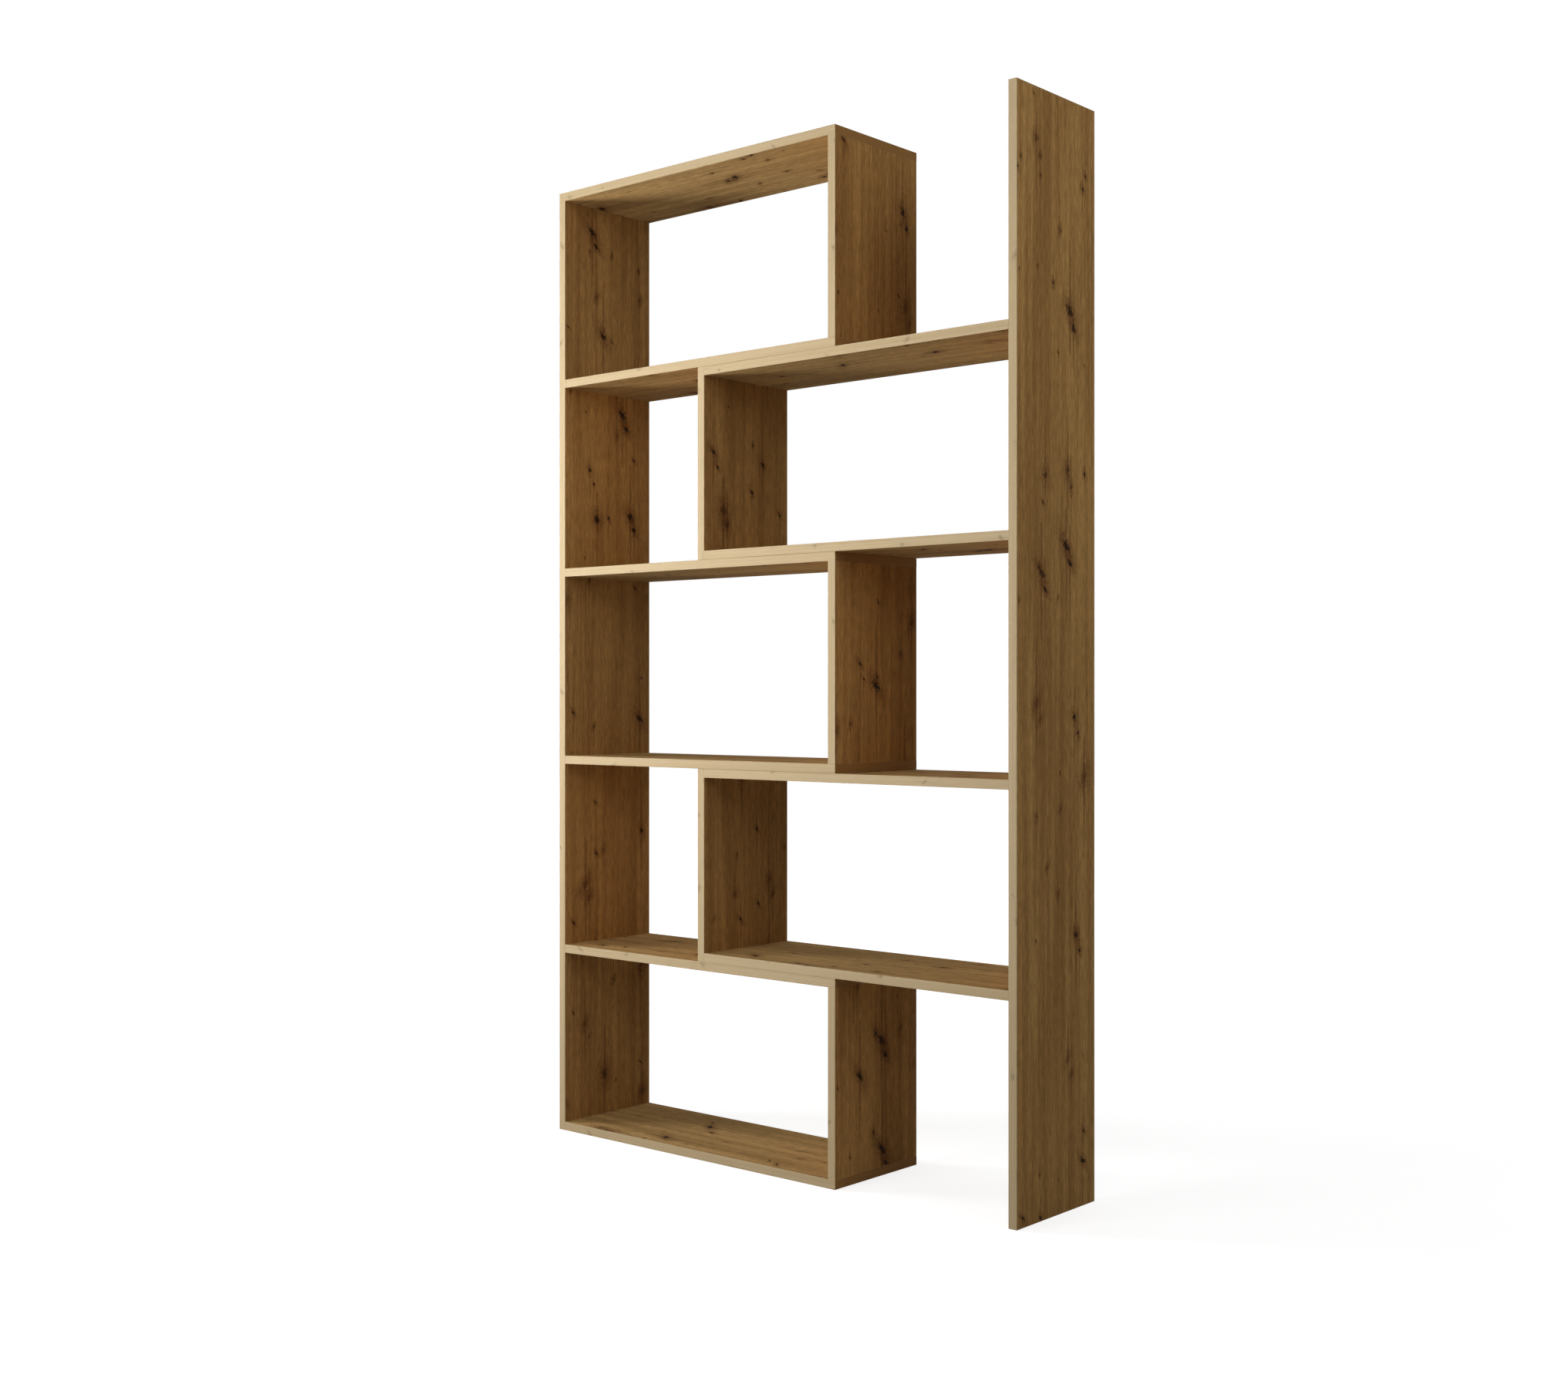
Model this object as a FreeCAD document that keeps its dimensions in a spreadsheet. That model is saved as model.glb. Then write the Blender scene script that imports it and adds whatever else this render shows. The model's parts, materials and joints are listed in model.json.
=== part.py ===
import FreeCAD, Part
import math
import os
import re

import Sketcher

# Extending open bookcase: a fixed module, and a module that slides sideways through its storeys.
# Frame: +X along the shelves, -Y the front, +Z up, origin on the floor under the middle of the unit.

# Driving dimensions in millimetres (or counts), with what each one measures
DRIVING_DIMENSIONS = {
    "unit_height": (2050, "floor to the top of both side panels"),
    "unit_depth": (260, "front face to back face"),
    "module_width": (782, "outer width of either module"),
    "extension": (400, "how far the sliding module stands drawn out"),
    "fixed_clear": (391, "clear height of the middle and top fixed storeys"),
    "sliding_clear": (395, "clear height of the storeys that take a sliding box"),
    "board": (18, "thickness of every board"),
    "banding": (1, "thickness of the glued edging"),
    "arris": (0.4, "chamfer along the edging's outer corners"),
    "play": (0.25, "air above and below each sliding box"),
    "inset": (45, "fittings in from the front and back faces"),
    "slack": (0.2, "diameter that a hole has over what it takes"),
    "hole_end": (0.5, "air left in the bottom of a blind hole"),
    "cam_reach": (34, "board end to the middle of the cam lock"),
    "cam_diameter": (15, "cam lock disc"),
    "cam_height": (13.5, "cam lock disc"),
    "cam_slot": (5.2, "slot in the cam lock for the bolt's tip"),
    "driver_slot": (1.5, "width and depth of the screwdriver slot"),
    "driver_length": (9, "length of the screwdriver slot"),
    "bolt_diameter": (6, "cam bolt rod across its corners"),
    "bolt_thread": (11, "length of cam bolt screwed into an upright"),
    "bolt_tip": (4.6, "cam bolt tip across its corners"),
    "dowel_diameter": (8, "fluted dowel across its ridges"),
    "dowel_in_face": (11.5, "dowel length in the face of a board"),
    "dowel_in_end": (18.5, "dowel length in the end of a board"),
    "flutes": (8, "ridges round a dowel, and corners round a bolt or a hidden bore"),
    "bracket_leaf": (30, "length of each leaf of a wall bracket"),
    "bracket_width": (20, "wall bracket along the shelf"),
    "bracket_sheet": (2, "steel sheet of the wall bracket"),
    "bracket_bend": (2, "inner radius of the bracket's bend"),
    "bracket_hole": (18, "holes of the bracket, out from its bend"),
    "bracket_inset": (150, "bracket's middle in from either end of the top board"),
    "wall_hole": (5.5, "bracket hole for the wall screw"),
    "screw_hole": (4.5, "bracket hole for its own screw"),
    "screw_diameter": (3.5, "bracket screw shank across its corners"),
    "screw_length": (14, "bracket screw under its head"),
    "screw_head": (8, "bracket screw head across its corners"),
    "screw_head_height": (2.4, "bracket screw head height"),
}

# Places and sizes that follow from the driving dimensions
LOWEST_SHELF = "(unit_height - 4 * board - 2 * fixed_clear - 2 * sliding_clear)"
UPPER_FACES = [
    "board",
    LOWEST_SHELF,
    f"({LOWEST_SHELF} + board + sliding_clear)",
    "(unit_height - 2 * board - fixed_clear - sliding_clear)",
    "(unit_height - board - fixed_clear)",
    "unit_height",
]
LEFT_FACE = "(-(module_width + board + extension) / 2)"
RIGHT_FACE = "((module_width + board + extension) / 2)"
FRONT_FACE = "(-unit_depth / 2)"
BACK_FACE = "(unit_depth / 2)"
CORE_DEPTH = "(unit_depth - 2 * banding)"
FIXED_LENGTH = "(module_width - board)"
SLIDING_LENGTH = "(module_width - 2 * board)"
SLIDING_START = f"({RIGHT_FACE} - module_width)"
BOX_HEIGHT = "(sliding_clear - 2 * play)"
HALF_BOARD = "(board / 2)"
FITTING_DEPTHS = ("(inset - banding)", "(unit_depth - banding - inset)")
FITTING_PLACES = (f"({FRONT_FACE} + inset)", f"({BACK_FACE} - inset)")
DOWEL_HOLE = "(dowel_diameter + slack)"
FACE_HOLE_DEPTH = "(dowel_in_face + hole_end)"
END_HOLE_DEPTH = "(dowel_in_end + hole_end)"

# Fixed boards: name, level counted from the floor, face that takes the cam locks
FIXED_BOARDS = [
    ("top_board", 5, "upper"),
    ("fixed_shelf_upper", 4, "upper"),
    ("fixed_shelf_mid_upper", 3, "upper"),
    ("fixed_shelf_mid_lower", 2, "lower"),
    ("fixed_shelf_lower", 1, "lower"),
    ("bottom_board", 0, "lower"),
]
# Fixed dividers: name, level of the board below it
FIXED_DIVIDERS = [
    ("fixed_divider_top", 4),
    ("fixed_divider_middle", 2),
    ("fixed_divider_bottom", 0),
]
# Sliding boxes: name, level of the fixed board that carries it, face that takes the cam locks
SLIDING_BOXES = [
    ("sliding_upper", 3, "upper"),
    ("sliding_lower", 1, "lower"),
]

# Half and quarter turns that set a fitting to its joint
AS_DRAWN = FreeCAD.Rotation()
UPSIDE_DOWN = FreeCAD.Rotation(FreeCAD.Vector(1, 0, 0), 180)
HALF_ROUND = FreeCAD.Rotation(FreeCAD.Vector(0, 0, 1), 180)
TOWARDS_RIGHT = FreeCAD.Rotation(FreeCAD.Vector(0, 1, 0), 90)
TOWARDS_LEFT = FreeCAD.Rotation(FreeCAD.Vector(0, 1, 0), -90)

# Two lengths in millimetres closer than this are the same
NEARLY = 1e-4
# A bore that runs into a cam pocket cuts less than its full length
LEAST_SHARE_CUT = 0.8

doc = FreeCAD.newDocument("extending_bookcase")
sheet = doc.addObject("Spreadsheet::Sheet", "Dims")
for row, (alias, (value, meaning)) in enumerate(DRIVING_DIMENSIONS.items(), start=1):
    sheet.set(f"A{row}", str(value))
    sheet.setAlias(f"A{row}", alias)
    sheet.set(f"B{row}", meaning)
doc.recompute()

subparts = []


def dims(formula):
    """Turns a formula of aliases into one that reads the sheet."""
    return re.sub(r"[a-z_]+", lambda word: "Dims." + word.group(), formula)


def bind(thing, **formulas):
    """Ties properties of a document object to the sheet."""
    for name, formula in formulas.items():
        thing.setExpression(name, dims(formula))


def place(thing, x, y, z, turn=AS_DRAWN):
    """Stands an object at a place given by formulas, turned as its joint needs."""
    thing.Placement = FreeCAD.Placement(FreeCAD.Vector(), turn)
    for axis, formula in zip("xyz", (x, y, z)):
        thing.setExpression(f"Placement.Base.{axis}", dims(formula))


def new_body(name, x="0", y="0", z="0"):
    """An empty body with its corner at that place."""
    body = doc.addObject("PartDesign::Body", name)
    body.Label = name
    place(body, x, y, z)
    return body


def new_sketch(body, plane_role, name, offset="0"):
    """A sketch on one of the body's own origin planes, moved out along the plane's normal."""
    sketch = body.newObject("Sketcher::SketchObject", name)
    plane = next(feature for feature in body.Origin.OriginFeatures if feature.Role == plane_role)
    sketch.AttachmentSupport = [(plane, "")]
    sketch.MapMode = "FlatFace"
    sketch.setExpression("AttachmentOffset.Base.z", dims(offset))
    return sketch


def dimension(sketch, kind, *reference_and_guess, formula):
    """Adds a dimension to a sketch and ties it to the sheet."""
    index = sketch.addConstraint(Sketcher.Constraint(kind, *reference_and_guess))
    sketch.setExpression(f"Constraints[{index}]", dims(formula))


def draw_rectangle(sketch, across, up):
    """A rectangle from the sketch's origin, with its two sides tied to the sheet."""
    guess = 100.0
    corners = [FreeCAD.Vector(*xy) for xy in ((0, 0), (guess, 0), (guess, guess), (0, guess))]
    for side in range(4):
        sketch.addGeometry(Part.LineSegment(corners[side], corners[(side + 1) % 4]), False)
    for side in range(4):
        sketch.addConstraint(Sketcher.Constraint("Coincident", side, 2, (side + 1) % 4, 1))
        sketch.addConstraint(Sketcher.Constraint(("Horizontal", "Vertical")[side % 2], side))
    sketch.addConstraint(Sketcher.Constraint("Coincident", 0, 1, -1, 1))
    dimension(sketch, "DistanceX", 0, 1, 0, 2, guess, formula=across)
    dimension(sketch, "DistanceY", 1, 1, 1, 2, guess, formula=up)


def drill(body, name, plane_role, offset, centres, diameter, depth, along_normal):
    """Round holes of one size in one face of a body, into the solid from that face."""
    sketch = new_sketch(body, plane_role, name + "_centres", offset)
    rough_circle = Part.Circle(FreeCAD.Vector(10, 10, 0), FreeCAD.Vector(0, 0, 1), 1)
    for across, up in centres:
        hole = sketch.addGeometry(rough_circle, False)
        dimension(sketch, "Diameter", hole, 2.0, formula=diameter)
        dimension(sketch, "DistanceX", -1, 1, hole, 3, 10.0, formula=across)
        dimension(sketch, "DistanceY", -1, 1, hole, 3, 10.0, formula=up)
    pocket = body.newObject("PartDesign::Pocket", name)
    pocket.Profile = sketch
    pocket.Reversed = along_normal
    bind(pocket, Length=depth)


def bore(body, name, mouths, turn, diameter, depth):
    """Hidden bores, as many-sided as the pins they take, from mouths given by x, y and z in the body."""
    for number, mouth in enumerate(mouths, start=1):
        hole = body.newObject("PartDesign::SubtractivePrism", f"{name}_{number}")
        bind(hole, Polygon="flutes", Circumradius=f"({diameter}) / 2", Height=depth)
        place(hole, *mouth, turn)


def edges_along(shape, run_axis, levels):
    """Names of the straight edges that run along one axis and stand at given levels of other axes."""
    names = []
    for number, edge in enumerate(shape.Edges, start=1):
        runs = abs(edge.tangentAt(edge.FirstParameter)[run_axis]) > 1 - NEARLY
        middle = edge.CenterOfMass
        if runs and all(abs(middle[axis] - level) < NEARLY for axis, level in levels.items()):
            names.append(f"Edge{number}")
    return names


def edging_strip(name, corner, sizes, run_axis, outward_axis, outward_sign):
    """A glued strip of edging whose outer long corners are broken by a small chamfer."""
    strip = new_body(name, *corner)
    block = strip.newObject("PartDesign::AdditiveBox", name + "_block")
    bind(block, Length=sizes[0], Width=sizes[1], Height=sizes[2])
    doc.recompute()
    outer = (0, 0, 0)[outward_axis]
    if outward_sign > 0:
        outer = (block.Length, block.Width, block.Height)[outward_axis].Value
    broken = strip.newObject("PartDesign::Chamfer", name + "_arris")
    broken.Base = (block, edges_along(block.Shape, run_axis, {outward_axis: outer}))
    bind(broken, Size="arris")
    return strip


def round_bend(body, base, corner, name, radius):
    """Rounds the edge that runs along X through that corner of the YZ section."""
    bend = body.newObject("PartDesign::Fillet", name)
    bend.Base = (base, edges_along(base.Shape, 0, {1: corner[0], 2: corner[1]}))
    bind(bend, Radius=radius)
    doc.recompute()
    return bend


def group(name, members):
    """One named sub-part made of separate solids."""
    compound = doc.addObject("Part::Compound", name)
    compound.Label = name
    compound.Links = members
    subparts.append(compound)


def shelf_board(name, x, z, length, banded_end):
    """A board lying flat, and its edging along front, back and, where it shows, the right end."""
    core_length = f"({length} - banding)" if banded_end else length
    body = new_body(name, x, f"{FRONT_FACE} + banding", z)
    outline = new_sketch(body, "XY_Plane", name + "_outline")
    draw_rectangle(outline, core_length, CORE_DEPTH)
    slab = body.newObject("PartDesign::Pad", name + "_slab")
    slab.Profile = outline
    bind(slab, Length="board")
    subparts.append(body)
    run = (length, "banding", "board")
    strips = [
        edging_strip(name + "_front_strip", (x, FRONT_FACE, z), run, 0, 1, -1),
        edging_strip(name + "_back_strip", (x, f"{BACK_FACE} - banding", z), run, 0, 1, 1),
    ]
    if banded_end:
        corner = (f"{x} + {core_length}", f"{FRONT_FACE} + banding", z)
        strips.append(edging_strip(name + "_end_strip", corner, ("banding", CORE_DEPTH, "board"), 1, 0, 1))
    group(name + "_edging", strips)
    return body


def upright_board(name, x, z, height, banded_end):
    """A board standing on end, and its edging along front, back and, where it shows, the top."""
    core_height = f"({height} - banding)" if banded_end else height
    body = new_body(name, x, f"{FRONT_FACE} + banding", z)
    outline = new_sketch(body, "YZ_Plane", name + "_outline")
    draw_rectangle(outline, CORE_DEPTH, core_height)
    slab = body.newObject("PartDesign::Pad", name + "_slab")
    slab.Profile = outline
    bind(slab, Length="board")
    subparts.append(body)
    run = ("board", "banding", height)
    strips = [
        edging_strip(name + "_front_strip", (x, FRONT_FACE, z), run, 2, 1, -1),
        edging_strip(name + "_back_strip", (x, f"{BACK_FACE} - banding", z), run, 2, 1, 1),
    ]
    if banded_end:
        corner = (x, f"{FRONT_FACE} + banding", f"{z} + {core_height}")
        strips.append(edging_strip(name + "_top_strip", corner, ("board", CORE_DEPTH, "banding"), 1, 2, 1))
    group(name + "_edging", strips)
    return body


def mouths_at(x, z):
    """Where two bores open in a board, at both fitting depths."""
    return [(x, depth, z) for depth in FITTING_DEPTHS]


def bore_for_cams(body, cam_face, end, cam_middle):
    """Cam pockets in one face of a shelf board, and the bolt bores that reach them from one end."""
    on_top = cam_face == "upper"
    face = "board" if on_top else "0"
    inward = TOWARDS_RIGHT if end == "0" else TOWARDS_LEFT
    drill(body, body.Label + "_cam_pockets", "XY_Plane", face,
          [(cam_middle, depth) for depth in FITTING_DEPTHS],
          "cam_diameter + slack", "cam_height + hole_end", not on_top)
    bore(body, body.Label + "_bolt_bore", mouths_at(end, HALF_BOARD), inward,
         "bolt_diameter + slack", "cam_reach - cam_diameter / 2 + hole_end")


def cam_seat(lower_face, cam_face):
    """Height of a cam lock that rests in the bottom of its pocket, and its turn."""
    if cam_face == "upper":
        return f"{lower_face} + board - hole_end", AS_DRAWN
    return f"{lower_face} + hole_end", UPSIDE_DOWN


def cam_lock_master():
    """Disc with a screwdriver slot in its face and a slot underneath that takes the bolt's tip."""
    body = new_body("cam_lock")
    disc = body.newObject("PartDesign::AdditiveCylinder", "cam_disc")
    bind(disc, Radius="cam_diameter / 2", Height="cam_height")
    place(disc, "0", "0", "-cam_height")
    bolt_slot = body.newObject("PartDesign::SubtractiveBox", "cam_bolt_slot")
    bind(bolt_slot, Length="cam_diameter / 2 + hole_end", Width="cam_slot",
         Height=f"cam_height + hole_end - {HALF_BOARD} + cam_slot / 2")
    place(bolt_slot, "-cam_diameter / 2", "-cam_slot / 2", "-cam_height")
    driver_slot = body.newObject("PartDesign::SubtractiveBox", "cam_driver_slot")
    bind(driver_slot, Length="driver_length", Width="driver_slot", Height="driver_slot")
    place(driver_slot, "-driver_length / 2", "-driver_slot / 2", "-driver_slot")
    return body


def cam_bolt_master():
    """Rod that screws into an upright, with a slimmer tip for the cam lock to grip."""
    body = new_body("cam_bolt")
    rod_end = "(cam_reach - cam_diameter / 2 - hole_end)"
    rod = body.newObject("PartDesign::AdditivePrism", "bolt_rod")
    bind(rod, Polygon="flutes", Circumradius="bolt_diameter / 2", Height=f"bolt_thread + {rod_end}")
    place(rod, "0", "0", "-bolt_thread")
    tip = body.newObject("PartDesign::AdditivePrism", "bolt_tip")
    bind(tip, Polygon="flutes", Circumradius="bolt_tip / 2", Height=f"cam_reach - {rod_end}")
    place(tip, "0", "0", rod_end)
    return body


def dowel_master():
    """Fluted dowel, from the bottom of its hole in a face to the bottom of its hole in an end."""
    body = new_body("fluted_dowel")
    pin = body.newObject("PartDesign::AdditivePrism", "dowel_pin")
    bind(pin, Polygon="flutes", Circumradius="dowel_diameter / 2", Height="dowel_in_face + dowel_in_end")
    place(pin, "0", "0", "-dowel_in_face")
    return body


def wall_bracket_master():
    """Bent steel angle: one leaf lies on the top board, the other stands flush with the back."""
    body = new_body("wall_bracket")
    lying = body.newObject("PartDesign::AdditiveBox", "lying_leaf")
    bind(lying, Length="bracket_width", Width="bracket_leaf", Height="bracket_sheet")
    standing = body.newObject("PartDesign::AdditiveBox", "standing_leaf")
    bind(standing, Length="bracket_width", Width="bracket_sheet", Height="bracket_leaf")
    place(standing, "0", "bracket_leaf - bracket_sheet", "0")
    doc.recompute()
    inner_corner = (sheet.bracket_leaf - sheet.bracket_sheet, sheet.bracket_sheet)
    inner_bend = round_bend(body, standing, inner_corner, "inner_bend", "bracket_bend")
    outer_corner = (sheet.bracket_leaf, 0)
    round_bend(body, inner_bend, outer_corner, "outer_bend", "bracket_bend + bracket_sheet")
    middle = "(bracket_width / 2)"
    drill(body, "bracket_screw_hole", "XY_Plane", "bracket_sheet",
          [(middle, "bracket_leaf - bracket_hole")], "screw_hole", "bracket_sheet", False)
    drill(body, "bracket_wall_hole", "XZ_Plane", "bracket_sheet - bracket_leaf",
          [(middle, "bracket_hole")], "wall_hole", "bracket_sheet", False)
    return body


def bracket_screw_master():
    """Hexagon-headed screw that holds a wall bracket down on the top board."""
    body = new_body("bracket_screw")
    head = body.newObject("PartDesign::AdditivePrism", "screw_head")
    bind(head, Polygon="6", Circumradius="screw_head / 2", Height="screw_head_height")
    shank = body.newObject("PartDesign::AdditivePrism", "screw_shank")
    bind(shank, Polygon="flutes", Circumradius="screw_diameter / 2", Height="screw_length")
    place(shank, "0", "0", "-screw_length")
    return body


def set_fittings(name, master, seats):
    """One named group of identical fittings, each on its own seat: x, y, z and turn."""
    fittings = []
    for number, (x, y, z, turn) in enumerate(seats, start=1):
        fitting = doc.addObject("App::Link", f"{name}_{number}")
        fitting.LinkedObject = master
        place(fitting, x, y, z, turn)
        fittings.append(fitting)
    group(name, fittings)


def fixed_module():
    """The left side panel, the boards that run right from it and the dividers between them."""
    boards = {}
    heights = {}
    for name, level, cam_face in FIXED_BOARDS:
        lower_face = f"({UPPER_FACES[level]} - board)"
        board = shelf_board(name, f"{LEFT_FACE} + board", lower_face, FIXED_LENGTH, banded_end=True)
        bore_for_cams(board, cam_face, "0", "cam_reach")
        boards[level] = board
        heights[level] = lower_face
    side = upright_board("left_side", LEFT_FACE, "0", "unit_height", banded_end=True)
    for level, lower_face in heights.items():
        bore(side, f"left_bolt_hole_{level}", mouths_at("board", f"{lower_face} + {HALF_BOARD}"),
             TOWARDS_LEFT, "bolt_diameter + slack", "bolt_thread + hole_end")

    dowels = []
    over_divider = f"{FIXED_LENGTH} - {HALF_BOARD}"
    divider_x = f"({LEFT_FACE} + {FIXED_LENGTH})"
    for name, level in FIXED_DIVIDERS:
        foot = f"({heights[level]} + board)"
        head = heights[level + 1]
        height = f"({head} - {foot})"
        divider = upright_board(name, divider_x, foot, height, banded_end=False)
        bore(divider, name + "_foot_bore", mouths_at(HALF_BOARD, "0"), AS_DRAWN,
             DOWEL_HOLE, END_HOLE_DEPTH)
        bore(divider, name + "_head_bore", mouths_at(HALF_BOARD, height), UPSIDE_DOWN,
             DOWEL_HOLE, END_HOLE_DEPTH)
        bore(boards[level], name + "_foot_hole", mouths_at(over_divider, "board"), UPSIDE_DOWN,
             DOWEL_HOLE, FACE_HOLE_DEPTH)
        bore(boards[level + 1], name + "_head_hole", mouths_at(over_divider, "0"), AS_DRAWN,
             DOWEL_HOLE, FACE_HOLE_DEPTH)
        for y in FITTING_PLACES:
            dowels.append((f"{divider_x} + {HALF_BOARD}", y, foot, AS_DRAWN))
            dowels.append((f"{divider_x} + {HALF_BOARD}", y, head, UPSIDE_DOWN))

    cams = []
    bolts = []
    for name, level, cam_face in FIXED_BOARDS:
        for y in FITTING_PLACES:
            cams.append((f"{LEFT_FACE} + board + cam_reach", y, *cam_seat(heights[level], cam_face)))
            bolts.append((f"{LEFT_FACE} + board", y, f"{heights[level]} + {HALF_BOARD}", TOWARDS_RIGHT))
    set_fittings("fixed_cam_locks", cam_lock, cams)
    set_fittings("fixed_cam_bolts", cam_bolt, bolts)
    set_fittings("fixed_dowels", fluted_dowel, dowels)
    return boards


def sliding_module():
    """The right side panel and the two boxes that reach left from it between the fixed boards."""
    side = upright_board("right_side", f"{RIGHT_FACE} - board", "0", "unit_height", banded_end=True)
    cams = []
    bolts = []
    dowels = []
    for box, level, cam_face in SLIDING_BOXES:
        foot = f"({UPPER_FACES[level]} + play)"
        end = upright_board(box + "_end", SLIDING_START, foot, BOX_HEIGHT, banded_end=False)
        for part, rise in (("_floor", "0"), ("_top", f"({BOX_HEIGHT} - board)")):
            lower_face = f"({foot} + {rise})"
            middle = f"({lower_face} + {HALF_BOARD})"
            board = shelf_board(box + part, f"{SLIDING_START} + board", lower_face,
                                SLIDING_LENGTH, banded_end=False)
            bore_for_cams(board, cam_face, SLIDING_LENGTH, f"{SLIDING_LENGTH} - cam_reach")
            bore(board, box + part + "_dowel_bore", mouths_at("0", HALF_BOARD), TOWARDS_RIGHT,
                 DOWEL_HOLE, END_HOLE_DEPTH)
            bore(end, box + part + "_dowel_hole", mouths_at("board", f"{rise} + {HALF_BOARD}"),
                 TOWARDS_LEFT, DOWEL_HOLE, FACE_HOLE_DEPTH)
            bore(side, box + part + "_bolt_hole", mouths_at("0", middle), TOWARDS_RIGHT,
                 "bolt_diameter + slack", "bolt_thread + hole_end")
            for y in FITTING_PLACES:
                seat, turn = cam_seat(lower_face, cam_face)
                cams.append((f"{RIGHT_FACE} - board - cam_reach", y, seat, HALF_ROUND * turn))
                bolts.append((f"{RIGHT_FACE} - board", y, middle, TOWARDS_LEFT))
                dowels.append((f"{SLIDING_START} + board", y, middle, TOWARDS_RIGHT))
    set_fittings("sliding_cam_locks", cam_lock, cams)
    set_fittings("sliding_cam_bolts", cam_bolt, bolts)
    set_fittings("sliding_dowels", fluted_dowel, dowels)


def wall_fixings(top_board):
    """Two angle brackets on the rear of the top board, each held down by a screw."""
    brackets = []
    screws = []
    pilots = []
    for along in ("bracket_inset", f"({FIXED_LENGTH} - bracket_inset)"):
        middle = f"{LEFT_FACE} + board + {along}"
        left_edge = f"{middle} - bracket_width / 2"
        brackets.append((left_edge, f"{BACK_FACE} - bracket_leaf", "unit_height", AS_DRAWN))
        screws.append((middle, f"{BACK_FACE} - bracket_hole", "unit_height + bracket_sheet", AS_DRAWN))
        pilots.append((along, "unit_depth - banding - bracket_hole", "board"))
    bore(top_board, "bracket_screw_pilot", pilots, UPSIDE_DOWN,
         "screw_diameter + slack", "screw_length - bracket_sheet + hole_end")
    set_fittings("wall_brackets", wall_bracket_master(), brackets)
    set_fittings("bracket_screws", bracket_screw_master(), screws)


def check_document():
    """Stops before anything is written if an object failed or a hole cut less than it should."""
    for thing in doc.Objects:
        if "Invalid" in thing.State or "Error" in thing.State:
            raise RuntimeError(f"{thing.Label} failed: {thing.State}")
        if thing.TypeId == "PartDesign::Pocket":
            mouth = sum(math.pi * circle.Radius ** 2 for circle in thing.Profile[0].Geometry)
            hole = mouth * thing.Length.Value
        elif thing.TypeId == "PartDesign::SubtractivePrism":
            corner_angle = 2 * math.pi / thing.Polygon
            mouth = thing.Polygon / 2 * thing.Circumradius.Value ** 2 * math.sin(corner_angle)
            hole = mouth * thing.Height.Value
        else:
            continue
        removed = thing.BaseFeature.Shape.Volume - thing.Shape.Volume
        if removed < LEAST_SHARE_CUT * hole:
            raise RuntimeError(f"{thing.Label} cuts only {removed:.0f} mm3 of {hole:.0f}")
    for part in subparts:
        if part.Shape.isNull() or not part.Shape.isValid():
            raise RuntimeError(f"{part.Label} has no valid shape")


cam_lock = cam_lock_master()
cam_bolt = cam_bolt_master()
fluted_dowel = dowel_master()
fixed_boards = fixed_module()
sliding_module()
wall_fixings(fixed_boards[5])
doc.recompute()
check_document()

os.makedirs("parts", exist_ok=True)
for part in subparts:
    part.Shape.exportStep(f"parts/{part.Label}.step")
    print(f"{part.Label}: {len(part.Shape.Solids)} solids, {part.Shape.Volume / 1000:.1f} cm3")
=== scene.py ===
# %% [markdown]
# # An extending bookcase in knotty oak
# The bookcase has two modules. The fixed one stands on the floor, and the sliding one reaches between its shelves,
# so the whole unit draws out sideways. Every board, edging strip and fitting already has its true shape in the
# imported model, so this lesson is about surfaces: how flat boards come to look like knotty oak, and how light does
# the rest. The first step loads the model.

# %% Load the imported model
import json
import math

import bpy
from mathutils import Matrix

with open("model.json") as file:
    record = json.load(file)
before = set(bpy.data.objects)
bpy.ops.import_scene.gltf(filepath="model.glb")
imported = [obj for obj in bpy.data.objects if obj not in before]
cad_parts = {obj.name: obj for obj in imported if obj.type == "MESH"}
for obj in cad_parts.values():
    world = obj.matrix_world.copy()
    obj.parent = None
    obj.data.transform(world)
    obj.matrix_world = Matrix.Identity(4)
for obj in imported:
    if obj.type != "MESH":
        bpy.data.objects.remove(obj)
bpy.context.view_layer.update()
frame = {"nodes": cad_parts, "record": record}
nodes = frame["nodes"]

# %% [markdown]
# ## The camera
# The picture shows upright lines that stay parallel, so its camera is level. Where the shelf lines meet on the
# horizon gives the turn and the focal length, and the known size of the unit gives the distance. The values could
# be tried by eye, but fitting the corners of the boards settles all of them together.

# %% Set the camera
CAMERA_PLACE = (2.4919, -2.9389, 0.9537)
CAMERA_TURN = 40.976
CAMERA_LENS = 43.43
CAMERA_SENSOR = 36.0

camera_data = bpy.data.cameras.new("camera")
camera_data.sensor_fit = "HORIZONTAL"
camera_data.sensor_width = CAMERA_SENSOR
camera_data.lens = CAMERA_LENS
camera = bpy.data.objects.new("camera", camera_data)
camera.location = CAMERA_PLACE
camera.rotation_euler = (math.radians(90), 0, math.radians(CAMERA_TURN))
bpy.context.scene.collection.objects.link(camera)
bpy.context.scene.camera = camera
bpy.context.scene.view_settings.view_transform = "Standard"
print("camera at", CAMERA_PLACE, "turned", CAMERA_TURN, "degrees, lens", CAMERA_LENS, "mm")

# %% [markdown]
# ## Small helpers for shader nodes
# A material is a graph of nodes. Writing each link by hand hides the idea behind the plumbing, so three short
# helpers do it: one sets or links an input, one does arithmetic, and one fades a value between two limits.

# %% Define the node helpers
def feed(tree, value, socket):
    """Links a socket into an input, or sets a plain value on it."""
    if isinstance(value, bpy.types.NodeSocket):
        tree.links.new(value, socket)
    else:
        socket.default_value = value


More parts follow.
